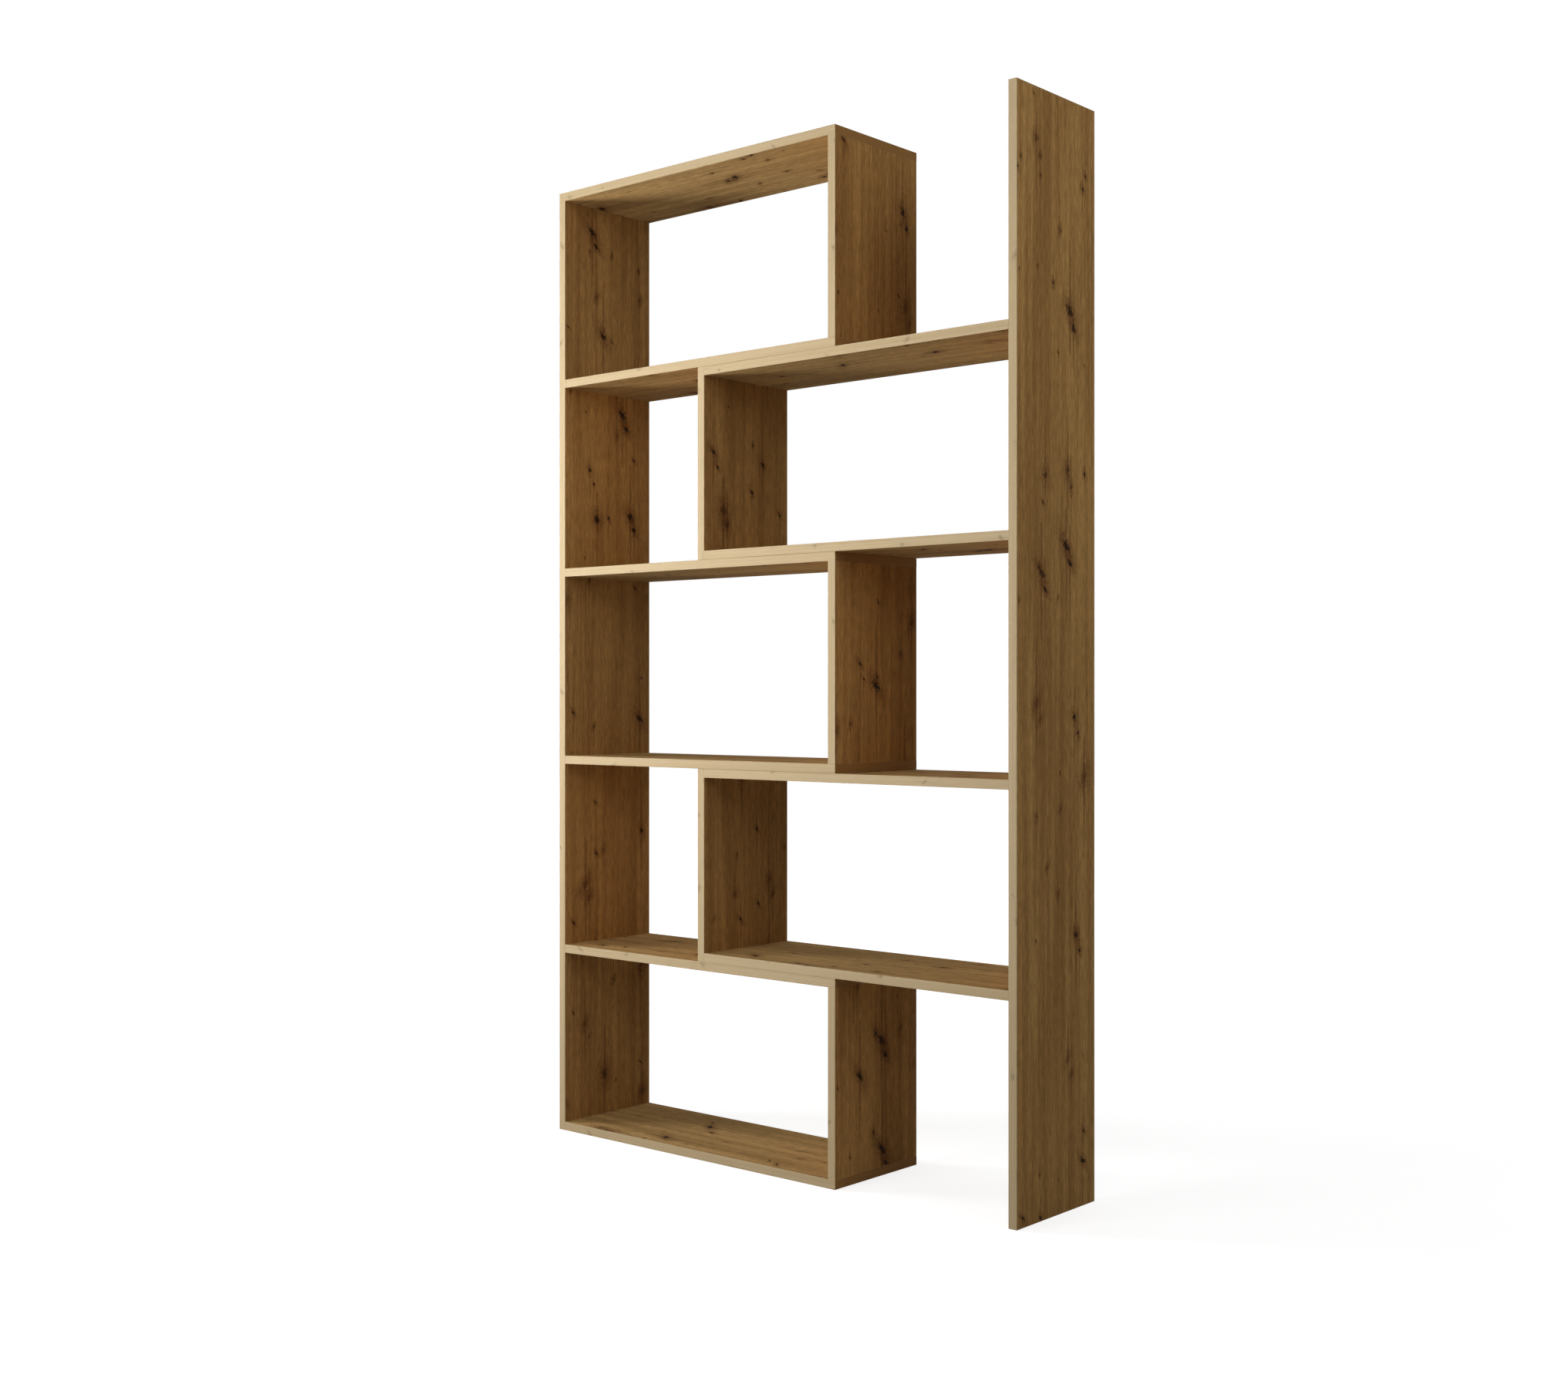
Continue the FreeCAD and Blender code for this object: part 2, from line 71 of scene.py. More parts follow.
def calc(tree, operation, *values):
    """One arithmetic step."""
    node = tree.nodes.new("ShaderNodeMath")
    node.operation = operation
    for value, socket in zip(values, node.inputs):
        feed(tree, value, socket)
    return node.outputs["Value"]


def fade(tree, value, start, end, low=0.0, high=1.0):
    """Goes smoothly from low, where the value is at start, to high, where it is at end."""
    node = tree.nodes.new("ShaderNodeMapRange")
    node.interpolation_type = "SMOOTHSTEP"
    for name, setting in zip(("Value", "From Min", "From Max", "To Min", "To Max"), (value, start, end, low, high)):
        feed(tree, setting, node.inputs[name])
    return node.outputs["Result"]


print("helpers ready:", feed.__name__, calc.__name__, fade.__name__)

# %% [markdown]
# ## Noise with a grain, and groups
# Wood changes fast across the grain and slowly along it, so its noise is drawn out: one helper scales the noise
# differently along each axis. A part of the graph that several materials share goes into a group, a box with named
# sockets, so that it is built and tuned in one place. The other helper makes such an empty box.

# %% Define the noise and group helpers
def stretched_noise(tree, vector, scales, detail, roughness=0.55, distortion=0.0):
    """Noise drawn out by a different scale along each axis, in steps per metre."""
    stretch = tree.nodes.new("ShaderNodeVectorMath")
    stretch.operation = "MULTIPLY"
    feed(tree, vector, stretch.inputs[0])
    stretch.inputs[1].default_value = scales
    noise = tree.nodes.new("ShaderNodeTexNoise")
    noise.inputs["Scale"].default_value = 1.0
    noise.inputs["Detail"].default_value = detail
    noise.inputs["Roughness"].default_value = roughness
    noise.inputs["Distortion"].default_value = distortion
    tree.links.new(stretch.outputs[0], noise.inputs["Vector"])
    return noise.outputs["Fac"]


def new_group(name, inputs, outputs):
    """An empty shader group with named sockets, its input node and its output node."""
    tree = bpy.data.node_groups.new(name, "ShaderNodeTree")
    for direction, sockets in (("INPUT", inputs), ("OUTPUT", outputs)):
        for label, kind in sockets.items():
            tree.interface.new_socket(name=label, in_out=direction, socket_type="NodeSocket" + kind)
    return tree, tree.nodes.new("NodeGroupInput"), tree.nodes.new("NodeGroupOutput")


print("helpers ready:", stretched_noise.__name__, new_group.__name__)

# %% [markdown]
# ## Oak grain as a shared group
# Oak shows slow bands of tone, fine fibres and short dark pores, all drawn out along the grain. One noise can't
# give all three, so the group stacks noises of different scales. Every oak surface uses it, so it is built once.
# Its vector holds across, through and along the board, in metres, so the scales below are real sizes.

# %% Build the oak grain group
# Noise scales across, through and along the board, in steps per metre
WIDE_BANDS, NARROW_BANDS = (7, 0, 0.8), (48, 0, 1.3)
FIBRES, PORES = (380, 0, 34), (900, 0, 26)
WIDE_SHARE, NARROW_SHARE = 0.4, 0.6


def build_oak_grain():
    tree, given, result = new_group("oak_grain", {"Vector": "Vector"},
                                    {"Bands": "Float", "Fibres": "Float", "Pores": "Float"})
    vector = given.outputs["Vector"]
    wide = stretched_noise(tree, vector, WIDE_BANDS, 2.0, distortion=0.6)
    narrow = stretched_noise(tree, vector, NARROW_BANDS, 4.0, roughness=0.7, distortion=0.5)
    bands = calc(tree, "ADD", calc(tree, "MULTIPLY", wide, WIDE_SHARE),
                 calc(tree, "MULTIPLY", narrow, NARROW_SHARE))
    feed(tree, fade(tree, bands, 0.37, 0.63), result.inputs["Bands"])
    fibres = stretched_noise(tree, vector, FIBRES, 4.0, roughness=0.7)
    feed(tree, fade(tree, fibres, 0.3, 0.7), result.inputs["Fibres"])
    dashes = stretched_noise(tree, vector, PORES, 1.5)
    feed(tree, fade(tree, dashes, 0.6, 0.72), result.inputs["Pores"])
    return tree


oak_grain = build_oak_grain()
print("group", oak_grain.name, "with", len(oak_grain.nodes), "nodes")

# %% [markdown]
# ## Points for the knots
# On a real board the knots lie where branches grew, at random but never on top of each other. Points strewn by plain
# chance would crowd, so Voronoi cells scatter them: each cell holds one point, and each point can hold one knot. The
# helper measures how far a spot lies from its cell's point, across and along the grain. It also hands on the cell's
# random colour, from which a knot takes its size, its lean and its chance to be there.

# %% Define the scatter of points
def scatter_points(tree, vector, cell_across, cell_along):
    """Way across and along the grain from the cell's point, in metres, and the cell's three chances."""
    split = tree.nodes.new("ShaderNodeSeparateXYZ")
    tree.links.new(vector, split.inputs[0])
    cells = tree.nodes.new("ShaderNodeCombineXYZ")
    feed(tree, calc(tree, "DIVIDE", split.outputs["X"], cell_across), cells.inputs["X"])
    feed(tree, calc(tree, "DIVIDE", split.outputs["Z"], cell_along), cells.inputs["Y"])
    scatter = tree.nodes.new("ShaderNodeTexVoronoi")
    scatter.voronoi_dimensions = "2D"
    scatter.inputs["Scale"].default_value = 1.0
    scatter.inputs["Randomness"].default_value = 0.9
    tree.links.new(cells.outputs[0], scatter.inputs["Vector"])
    offset = tree.nodes.new("ShaderNodeVectorMath")
    offset.operation = "SUBTRACT"
    tree.links.new(cells.outputs[0], offset.inputs[0])
    tree.links.new(scatter.outputs["Position"], offset.inputs[1])
    apart = tree.nodes.new("ShaderNodeSeparateXYZ")
    tree.links.new(offset.outputs[0], apart.inputs[0])
    chance = tree.nodes.new("ShaderNodeSeparateColor")
    tree.links.new(scatter.outputs["Color"], chance.inputs[0])
    across = calc(tree, "MULTIPLY", apart.outputs["X"], cell_across)
    along = calc(tree, "MULTIPLY", apart.outputs["Y"], cell_along)
    return across, along, chance.outputs


print("helper ready:", scatter_points.__name__)

# %% [markdown]
# ## Knots as a shared group
# A knot is a dark, cracked oval with a brown halo and a faint streak above and below it, and the grain bends round
# it. A picture of a knot could be laid on the board, but it would be the same knot everywhere. Here each point draws
# its own: the way from the point, divided by half the knot's size across and along the grain, gives an oval, and
# noise makes its rim ragged. The last output says how far the grain is pushed aside at a spot, from -1 on one side
# of a knot to 1 on the other.

# %% Build the knot group
# Half size across and along the grain, in metres, for a knot of size 1
CORE_HALF = (0.0085, 0.0095)
HALO_HALF = (0.022, 0.036)
STREAK_HALF = (0.0038, 0.17)
BEND_HALF = (0.03, 0.06)
# Chance makes a knot smaller or larger by these, and leans it either way from upright
SMALLEST, LARGEST = 0.45, 1.25
UPRIGHT_CHANCE, LEAN_RANGE = 0.35, 1.4
# Noise scales of the ragged rim, and the half width in which the push changes sides, in metres
RAGGED_RIM = (260, 0, 150)
PUSH_RISE = 0.008


def build_oak_knots():
    tree, given, result = new_group(
        "oak_knots",
        {"Vector": "Vector", "Cell across": "Float", "Cell along": "Float", "Knot size": "Float", "Share": "Float"},
        {"Core": "Float", "Halo": "Float", "Streak": "Float", "Push": "Float"})
    vector = given.outputs["Vector"]
    off_across, off_along, chance = scatter_points(
        tree, vector, given.outputs["Cell across"], given.outputs["Cell along"])
    present = calc(tree, "LESS_THAN", chance["Red"], given.outputs["Share"])
    size = calc(tree, "MULTIPLY", fade(tree, chance["Green"], 0.0, 1.0, SMALLEST, LARGEST),
                given.outputs["Knot size"])
    straight = calc(tree, "DIVIDE", off_across, size)
    along = calc(tree, "DIVIDE", off_along, size)
    lean = calc(tree, "MULTIPLY", calc(tree, "SUBTRACT", chance["Blue"], UPRIGHT_CHANCE), LEAN_RANGE)
    leaning = calc(tree, "MULTIPLY_ADD", along, lean, straight)
    ragged = calc(tree, "SUBTRACT", stretched_noise(tree, vector, RAGGED_RIM, 3.0, roughness=0.6), 0.5)

    def oval(sideways, half, wobble):
        first = calc(tree, "POWER", calc(tree, "DIVIDE", sideways, half[0]), 2.0)
        second = calc(tree, "POWER", calc(tree, "DIVIDE", along, half[1]), 2.0)
        reach = calc(tree, "SQRT", calc(tree, "ADD", first, second))
        return calc(tree, "MULTIPLY_ADD", ragged, wobble, reach)

    dark = fade(tree, chance["Blue"], 0.25, 0.5, 0.25, 1.0)
    core = calc(tree, "MULTIPLY", fade(tree, oval(leaning, CORE_HALF, 3.0), 0.95, 0.5), dark)
    halo = fade(tree, oval(leaning, HALO_HALF, 1.8), 1.1, 0.0)
    streak = fade(tree, oval(straight, STREAK_HALF, 1.2), 1.1, 0.1)
    bend = fade(tree, oval(straight, BEND_HALF, 0.0), 1.0, 0.0)
    push = calc(tree, "MULTIPLY", calc(tree, "TANH", calc(tree, "DIVIDE", straight, PUSH_RISE)), bend)
    for name, mask in (("Core", core), ("Halo", halo), ("Streak", streak), ("Push", push)):
        feed(tree, calc(tree, "MULTIPLY", mask, present), result.inputs[name])
    return tree


oak_knots = build_oak_knots()
print("group", oak_knots.name, "with", len(oak_knots.nodes), "nodes")

# %% [markdown]
# ## Board coordinates
# The grain runs up an upright and along a shelf, and no two boards come from the same place in the sheet. Each
# material therefore turns the object's own coordinates into across, through and along, and shifts them by a random
# amount for each board. The depth through the board is scaled up, so that its two faces get different patterns. On
# the narrow edge of a board, across and through change places. Object coordinates ride with a board when its module
# slides, and world coordinates would not.

# %% Define the board coordinates
AXES = {"upright": ("Y", "X", "Z"), "shelf": ("Y", "Z", "X"),
        "upright edge": ("X", "Y", "Z"), "shelf edge": ("Z", "Y", "X")}
# For the axes across and along: how far chance shifts a board in the pattern, and the scale of the depth through it
SHIFT_AND_DEPTH = {"X": (31.7, 37.0), "Z": (53.9, 23.0)}


def board_vector(tree, lie):
    """Across, through and along the grain, for the faces or edges of an upright or a shelf."""
    place = tree.nodes.new("ShaderNodeTexCoord")
    split = tree.nodes.new("ShaderNodeSeparateXYZ")
    tree.links.new(place.outputs["Object"], split.inputs[0])
    across, through, along = (split.outputs[axis] for axis in AXES[lie])
    chance = tree.nodes.new("ShaderNodeObjectInfo").outputs["Random"]
    vector = tree.nodes.new("ShaderNodeCombineXYZ")
    for axis, value in (("X", across), ("Z", along)):
        shift, depth = SHIFT_AND_DEPTH[axis]
        shifted = calc(tree, "MULTIPLY_ADD", chance, shift, value)
        feed(tree, calc(tree, "MULTIPLY_ADD", through, depth, shifted), vector.inputs[axis])
    return vector.outputs[0]


print("grain axes:", AXES)

# %% [markdown]
# ## Knots in layers, and grain that flows round them
# A knotty board has large knots, often with a smaller one beside them, and small ticks in between. Three layers of
# the knot group give these. The second layer uses the cells of the first, a little shifted, so its knots keep to
# the large ones as pairs. Each layer also pushes the grain aside, so the lines part above a knot and close below
# it. Straight lines behind a knot would make it look like a sticker.

# %% Place the knots
# Cell across and along, knot size, share of cells with a knot, shift: large knots, their pairs, small ticks
KNOT_LAYERS = [
    (0.115, 0.21, 1.15, 0.72, (0.0, 0.0, 0.0)),
    (0.115, 0.21, 0.75, 0.32, (-0.012, 0.0, 0.03)),
    (0.07, 0.15, 0.45, 0.6, (3.0, 0.0, 5.0)),
]
PUSH_ASIDE = -0.009


def use_group(tree, group, **values):
    """Places a group in a tree and gives its inputs their values."""
    node = tree.nodes.new("ShaderNodeGroup")
    node.node_tree = group
    for name, value in values.items():
        feed(tree, value, node.inputs[name.replace("_", " ")])
    return node.outputs


def place_knots(tree, vector):
    """The knots of every layer, and the vector that makes the grain flow round them."""
    layers = []
    flow = vector
    for across, along, size, share, shift in KNOT_LAYERS:
        moved = tree.nodes.new("ShaderNodeVectorMath")
        feed(tree, vector, moved.inputs[0])
        moved.inputs[1].default_value = shift
        knots = use_group(tree, oak_knots, Vector=moved.outputs[0], Cell_across=across, Cell_along=along,
                          Knot_size=size, Share=share)
        layers.append(knots)
        aside = tree.nodes.new("ShaderNodeCombineXYZ")
        feed(tree, calc(tree, "MULTIPLY", knots["Push"], PUSH_ASIDE * size), aside.inputs["X"])
        joined = tree.nodes.new("ShaderNodeVectorMath")
        feed(tree, flow, joined.inputs[0])
        tree.links.new(aside.outputs[0], joined.inputs[1])
        flow = joined.outputs[0]
    return layers, flow


print(len(KNOT_LAYERS), "layers of knots")

# %% [markdown]
# ## Helpers for materials
# Every surface here needs the same three things: a material with its shader, a relief too shallow to model, and a
# way to lay one colour over another. A bump only tilts the light on a flat face, which is right for wood grain a few
# tenths of a millimetre deep. Real relief would need millions of faces.

# %% Define the material helpers
BUMP_STRENGTH = 0.35
# Places of the sockets for colours on a Mix node
MIX_SHARE, MIX_FIRST, MIX_SECOND, MIX_RESULT = 0, 6, 7, 2


def new_material(name):
    """A material with its shader, ready for values and links."""
    material = bpy.data.materials.new(name)
    material.use_nodes = True
    return material, material.node_tree, material.node_tree.nodes["Principled BSDF"]


def grain_bump(tree, shader, height, depth):
    """A shallow relief from a height that changes over the surface."""
    bump = tree.nodes.new("ShaderNodeBump")
    bump.inputs["Strength"].default_value = BUMP_STRENGTH
    bump.inputs["Distance"].default_value = depth
    feed(tree, height, bump.inputs["Height"])
    tree.links.new(bump.outputs["Normal"], shader.inputs["Normal"])


def blend(tree, share, first, second, mode="MIX"):
    """Mixes two colours."""
    node = tree.nodes.new("ShaderNodeMix")
    node.data_type = "RGBA"
    node.blend_type = mode
    for index, value in ((MIX_SHARE, share), (MIX_FIRST, first), (MIX_SECOND, second)):
        feed(tree, value, node.inputs[index])
    return node.outputs[MIX_RESULT]


print("helpers ready:", new_material.__name__, grain_bump.__name__, blend.__name__)

# %% [markdown]
# ## The oak boards
# The faces carry a matt knotty oak decor in golden brown. The uprights get a deeper, redder copy of it, which is
# painted shade: their sides lie in shade, and the copy stands in for it. The material lays bands, fibres and pores
# over a base colour, then streaks, halos and cores of the knots. Dark wood keeps more of its red, so the deep colour
# takes less from red than from green and blue. Fibres and pores also drive a faint bump and the roughness, so the
# boards catch a soft, broken sheen and no mirror.

# %% Define the board material
KNOT_BLACK = (0.022, 0.011, 0.006, 1)
PORE_SHARE, STREAK_SHARE, HALO_SHARE, CORE_SHARE = 0.3, 0.55, 0.6, 0.94
# The uprights' deeper, redder browns are painted shade, a shaded copy of the shelf oak
SHADED_UPRIGHT_DARK, SHADED_UPRIGHT_LIGHT = (0.375, 0.194, 0.062, 1), (0.585, 0.332, 0.112, 1)
SHELF_DARK, SHELF_LIGHT = (0.366, 0.222, 0.085, 1), (0.575, 0.360, 0.143, 1)
DEEP_SHARES = (0.38, 0.27, 0.27)
UPRIGHT_SHEEN, SHELF_SHEEN = 0.04, 0.01
BOARD_RELIEF = 0.0003


def deepen(colour, shares):
    """A darker colour, with its own share of red, green and blue."""
    return [value * share for value, share in zip(colour, shares)] + [1]


def oak_colour(tree, vector, dark, light):
    """Board colour with grain and knots, the grain itself and the height of its relief."""
    layers, flow = place_knots(tree, vector)
    grain = use_group(tree, oak_grain, Vector=flow)
    colour = blend(tree, grain["Bands"], dark, light)
    fine = fade(tree, grain["Fibres"], 0.0, 1.0, 0.78, 1.18)
    colour = blend(tree, 1.0, colour, fine, "MULTIPLY")
    deep = deepen(dark, DEEP_SHARES)
    colour = blend(tree, calc(tree, "MULTIPLY", grain["Pores"], PORE_SHARE), colour, deep)
    height = calc(tree, "SUBTRACT", grain["Fibres"], grain["Pores"])
    for knots in layers:
        colour = blend(tree, calc(tree, "MULTIPLY", knots["Streak"], STREAK_SHARE), colour, deep)
        colour = blend(tree, calc(tree, "MULTIPLY", knots["Halo"], HALO_SHARE), colour, deep)
        colour = blend(tree, calc(tree, "MULTIPLY", knots["Core"], CORE_SHARE), colour, KNOT_BLACK)
    return colour, grain, height


def oak_board(name, lie, dark, light, sheen):
    """Knotty oak decor for boards that stand upright or lie as shelves."""
    material, tree, shader = new_material(name)
    colour, grain, height = oak_colour(tree, board_vector(tree, lie), dark, light)
    tree.links.new(colour, shader.inputs["Base Color"])
    feed(tree, fade(tree, grain["Fibres"], 0.0, 1.0, 0.8, 0.66), shader.inputs["Roughness"])
    shader.inputs["Specular IOR Level"].default_value = sheen
    grain_bump(tree, shader, height, BOARD_RELIEF)
    return material


# The upright material is the painted-shade copy of the oak
shaded_upright_oak = oak_board("shaded_upright_oak", "upright", SHADED_UPRIGHT_DARK, SHADED_UPRIGHT_LIGHT, UPRIGHT_SHEEN)
shelf_oak = oak_board("shelf_oak", "shelf", SHELF_DARK, SHELF_LIGHT, SHELF_SHEEN)
print("board materials:", shaded_upright_oak.name, shelf_oak.name)

# %% [markdown]
# ## The edging, painted pale as a highlight
# A thin strip of oak edging is glued along the front and back of every board. Its pale colour is painted light, a
# highlight for the brightly lit edges. It shows fine lengthwise lines and a few small tan knots. Across the end of a
# board the strip keeps the oak decor's tone, deepened as painted shade, so the material asks which way its surface
# faces and changes colour there. Its arris, the small chamfer, catches a thin line of light.

# %% Define the edging material
END_AXIS = {"upright": "Z", "shelf": "X"}
# The pale edging colours are painted light, a highlight for the lit edges; the end colours are painted shade
PALE_PAINTED_LIGHT, PALE_LINE_PAINTED_LIGHT = (0.63, 0.49, 0.30, 1), (0.55, 0.41, 0.228, 1)
SHADED_END_COLOURS = (0.30, 0.156, 0.047, 1), (0.45, 0.239, 0.075, 1)
EDGE_KNOTS = {"Cell_across": 0.03, "Cell_along": 0.2, "Knot_size": 0.3, "Share": 0.75}
TAN_SHARES = (0.55, 0.55, 0.55)
MARK_SHARE, LINE_SHARE = 0.7, 0.6
EDGE_SHEEN = 0.06
EDGE_RELIEF = 0.0002


def oak_edging(name, lie):
    """Edging painted pale along a board as a painted highlight, and the oak tone deepened as painted shade across its
    end.
    """
    material, tree, shader = new_material(name)
    vector = board_vector(tree, lie)
    grain = use_group(tree, oak_grain, Vector=vector)
    colour = blend(tree, grain["Bands"], PALE_LINE_PAINTED_LIGHT, PALE_PAINTED_LIGHT)
    colour = blend(tree, 1.0, colour, fade(tree, grain["Fibres"], 0.0, 1.0, 0.9, 1.06), "MULTIPLY")
    knots = use_group(tree, oak_knots, Vector=board_vector(tree, lie + " edge"), **EDGE_KNOTS)
    marks = calc(tree, "MAXIMUM", knots["Halo"], calc(tree, "MULTIPLY", knots["Streak"], LINE_SHARE))
    colour = blend(tree, calc(tree, "MULTIPLY", marks, MARK_SHARE), colour, deepen(PALE_LINE_PAINTED_LIGHT, TAN_SHARES))
    # Painted shade across the board's end, painted pale highlight along its front and back
    shaded_ends = blend(tree, grain["Fibres"], *SHADED_END_COLOURS)
    facing = tree.nodes.new("ShaderNodeSeparateXYZ")
    tree.links.new(tree.nodes.new("ShaderNodeTexCoord").outputs["Normal"], facing.inputs[0])
    at_end = fade(tree, calc(tree, "ABSOLUTE", facing.outputs[END_AXIS[lie]]), 0.8, 0.9)
    tree.links.new(blend(tree, at_end, colour, shaded_ends), shader.inputs["Base Color"])
    feed(tree, fade(tree, grain["Fibres"], 0.0, 1.0, 0.62, 0.5), shader.inputs["Roughness"])
    shader.inputs["Specular IOR Level"].default_value = EDGE_SHEEN
    grain_bump(tree, shader, grain["Fibres"], EDGE_RELIEF)
    return material


upright_edging = oak_edging("upright_edging", "upright")
shelf_edging = oak_edging("shelf_edging", "shelf")
print("edging materials:", upright_edging.name, shelf_edging.name)

# %% [markdown]
# ## Dowels and metal fittings
# The dowels are raw beech. The cam locks, bolts and screws are zinc plated, which is a soft grey metal with a
# cloudy bloom, and the wall brackets are plated sheet with faint rolling lines. Two metals, one recipe: a cloud
# noise varies both the colour and the roughness.

# %% Define the fitting materials
BEECH_DARK, BEECH_LIGHT = (0.50, 0.33, 0.19, 1), (0.64, 0.46, 0.29, 1)
# Noise scales along the three axes, in steps per metre: even clouds, and lines along a rolled sheet
CLOUDS, ROLLING_LINES = (320, 320, 320), (60, 900, 900)
FITTING_GREYS = (0.36, 0.36, 0.35, 1), (0.52, 0.52, 0.50, 1)
BRACKET_GREYS = (0.38, 0.38, 0.375, 1), (0.52, 0.52, 0.51, 1)


def beech(name):
    """Raw beech with short dark flecks."""
    material, tree, shader = new_material(name)
    grain = use_group(tree, oak_grain, Vector=board_vector(tree, "shelf"))
    colour = blend(tree, grain["Fibres"], BEECH_DARK, BEECH_LIGHT)
    tree.links.new(colour, shader.inputs["Base Color"])
    feed(tree, fade(tree, grain["Bands"], 0.0, 1.0, 0.6, 0.75), shader.inputs["Roughness"])
    return material


def zinc(name, scales, base, bloom):
    """Zinc plating with a cloudy bloom."""
    material, tree, shader = new_material(name)
    place = tree.nodes.new("ShaderNodeTexCoord").outputs["Object"]
    cloud = stretched_noise(tree, place, scales, 3.0)
    tree.links.new(blend(tree, cloud, base, bloom), shader.inputs["Base Color"])
    feed(tree, fade(tree, cloud, 0.3, 0.7, 0.38, 0.6), shader.inputs["Roughness"])
    shader.inputs["Metallic"].default_value = 1.0
    return material


dowel_beech = beech("dowel_beech")
fitting_zinc = zinc("fitting_zinc", CLOUDS, *FITTING_GREYS)
bracket_steel = zinc("bracket_steel", ROLLING_LINES, *BRACKET_GREYS)
print("fitting materials:", dowel_beech.name, fitting_zinc.name, bracket_steel.name)

# %% [markdown]
# ## Dressing the nodes
# Each node gets its material by its name and by how its board lies. The record already says which nodes are boards
# and which are edging, so the names of the uprights are all that has to be listed here.

# %% Give every node its material
UPRIGHTS = ("left_side", "right_side", "fixed_divider", "sliding_upper_end", "sliding_lower_end")
FITTINGS = {"dowel_beech": dowel_beech, "fitting_zinc": fitting_zinc, "bracket_steel": bracket_steel}
slot_of = {entry["node"]: entry["material_slot"] for entry in frame["record"]["subparts"]}

for name, node in nodes.items():
    upright = name.startswith(UPRIGHTS)
    if slot_of[name] == "oak_board":
        material = shaded_upright_oak if upright else shelf_oak
    elif slot_of[name] == "oak_edging":
        material = upright_edging if upright else shelf_edging
    else:
        material = FITTINGS[slot_of[name]]
    node.data.materials.clear()
    node.data.materials.append(material)
print("dressed", len(nodes), "nodes")

# %% [markdown]
# ## The floor
# The unit is shown on plain white. A floor that only shines would give that, but it hides the shadow under the unit.
# Here the floor is matt grey, and only to the camera it also glows: less near the unit, where the lamps light it and
# the soft shadow must show, and fully farther out, where it meets the white behind.

# %% Make the floor
FLOOR_HALF = 14.0
FLOOR_DROP = 0.0005
FLOOR_GREY = (0.4, 0.4, 0.4, 1)
WHITE = (1, 1, 1, 1)
NEAR, FAR = 1.0, 3.5
NEAR_GLOW, FULL_GLOW = 0.80, 1.0


def seen_by_camera(tree):
    """1 for rays that show the background: camera rays, and rays in a mirror or through glass."""
    path = tree.nodes.new("ShaderNodeLightPath")
    seen = calc(tree, "MAXIMUM", path.outputs["Is Camera Ray"], path.outputs["Is Glossy Ray"])
    return calc(tree, "MAXIMUM", seen, path.outputs["Is Transmission Ray"])


floor_mesh = bpy.data.meshes.new("floor")
corners = [(-FLOOR_HALF, -FLOOR_HALF, 0), (FLOOR_HALF, -FLOOR_HALF, 0),
           (FLOOR_HALF, FLOOR_HALF, 0), (-FLOOR_HALF, FLOOR_HALF, 0)]
floor_mesh.from_pydata(corners, [], [(0, 1, 2, 3)])
floor = bpy.data.objects.new("floor", floor_mesh)
floor.location.z = -FLOOR_DROP
bpy.context.scene.collection.objects.link(floor)

floor_material, tree, shader = new_material("floor_white")
shader.inputs["Base Color"].default_value = FLOOR_GREY
shader.inputs["Roughness"].default_value = 0.9
shader.inputs["Emission Color"].default_value = WHITE
away = tree.nodes.new("ShaderNodeVectorMath")
away.operation = "LENGTH"
tree.links.new(tree.nodes.new("ShaderNodeTexCoord").outputs["Object"], away.inputs[0])
glow = fade(tree, away.outputs["Value"], NEAR, FAR, NEAR_GLOW, FULL_GLOW)
feed(tree, calc(tree, "MULTIPLY", seen_by_camera(tree), glow), shader.inputs["Emission Strength"])
floor_mesh.materials.append(floor_material)
print("floor", 2 * FLOOR_HALF, "m wide, white from", FAR, "m outwards")

# %% [markdown]
# ## The white behind
# In a studio the backdrop is white but lights the unit very little, because it hangs far away. A white world would
# light every board from all round. So the world asks what kind of ray looks at it: the camera, metal and glass see
# white, and every other ray finds only a faint glow.

# %% Make the world
WORLD_LIGHT = 0.02

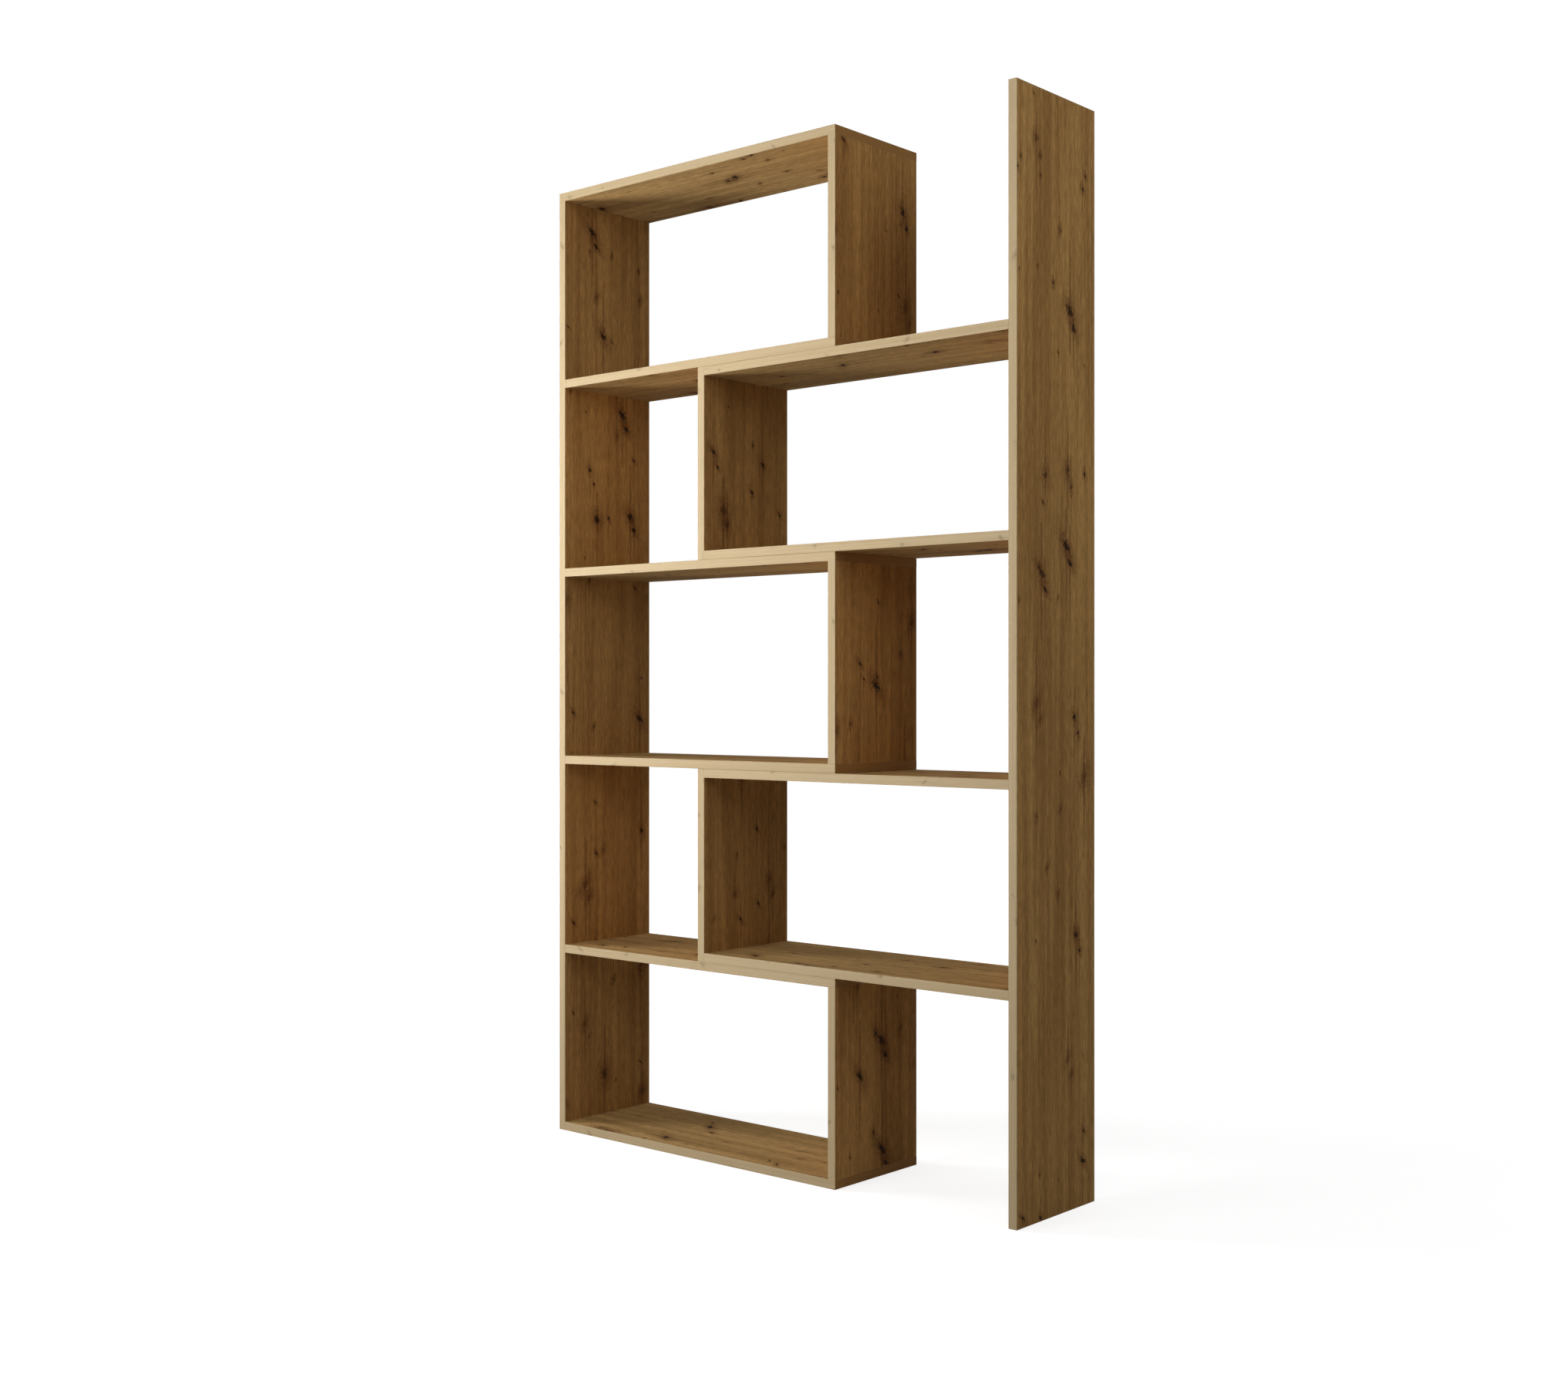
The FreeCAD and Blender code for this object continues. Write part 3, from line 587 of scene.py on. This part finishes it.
world = bpy.data.worlds.new("studio")
bpy.context.scene.world = world
world.use_nodes = True
tree = world.node_tree
background = tree.nodes["Background"]
background.inputs["Color"].default_value = WHITE
feed(tree, fade(tree, seen_by_camera(tree), 0.0, 1.0, WORLD_LIGHT, FULL_GLOW), background.inputs["Strength"])
print("world light", WORLD_LIGHT)

# %% [markdown]
# ## Studio light
# The front edges are bright, most of all at the left and at mid height, while every face that looks right lies in
# shade. So the main lamp is a large soft one in front and to the left, and a grid narrows its beam, so that the light
# falls off towards the floor and the far side. A weak lamp straight ahead and two high ones at the right lift the
# rest, and one overhead lights the shelf tops. The lamp behind stands far back and level with the shelves, so its
# rays run along the boards and light the rear edges and little else. The brackets face it, and would mirror it as a
# white patch, so it is kept out of reflections. Light from all round would be easier, but it flattens the boards.

# %% Set the lamps
OPEN_BEAM, GRID_BEAM = 180, 80


def soft_lamp(name, place, target, size, power, beam=OPEN_BEAM, mirrored=True):
    """A square area lamp that faces a target, with its beam in degrees. Metal shows it only if it is mirrored."""
    data = bpy.data.lights.new(name, "AREA")
    data.shape = "SQUARE"
    data.size = size
    data.energy = power
    data.spread = math.radians(beam)
    lamp = bpy.data.objects.new(name, data)
    lamp.location = place
    x, y, z = (to - at for at, to in zip(place, target))
    tilt, turn = math.atan2(z, math.hypot(x, y)), math.atan2(y, x)
    lamp.rotation_euler = (math.pi / 2 + tilt, 0, turn - math.pi / 2)
    lamp.visible_camera = False
    lamp.visible_glossy = mirrored
    bpy.context.scene.collection.objects.link(lamp)
    return lamp


lamps = [
    soft_lamp("left_lamp", (-3.1, -1.7, 1.1), (-0.4, 0.0, 1.4), 1.2, 34, GRID_BEAM),
    soft_lamp("front_lamp", (-0.3, -1.9, 1.7), (-0.1, 0.0, 1.4), 0.9, 13),
    soft_lamp("right_lamp", (1.8, -2.5, 2.6), (0.2, 0.0, 1.3), 1.2, 10),
    soft_lamp("side_lamp", (3.0, -0.5, 2.6), (0.5, 0.0, 1.4), 1.6, 21),
    soft_lamp("rear_lamp", (-0.6, 6.0, 1.3), (0.0, 0.0, 1.1), 1.6, 115, mirrored=False),
    soft_lamp("top_lamp", (0.0, 0.4, 4.2), (0.0, 0.0, 1.0), 1.8, 14),
]
print("lamps:", ", ".join(lamp.name for lamp in lamps))
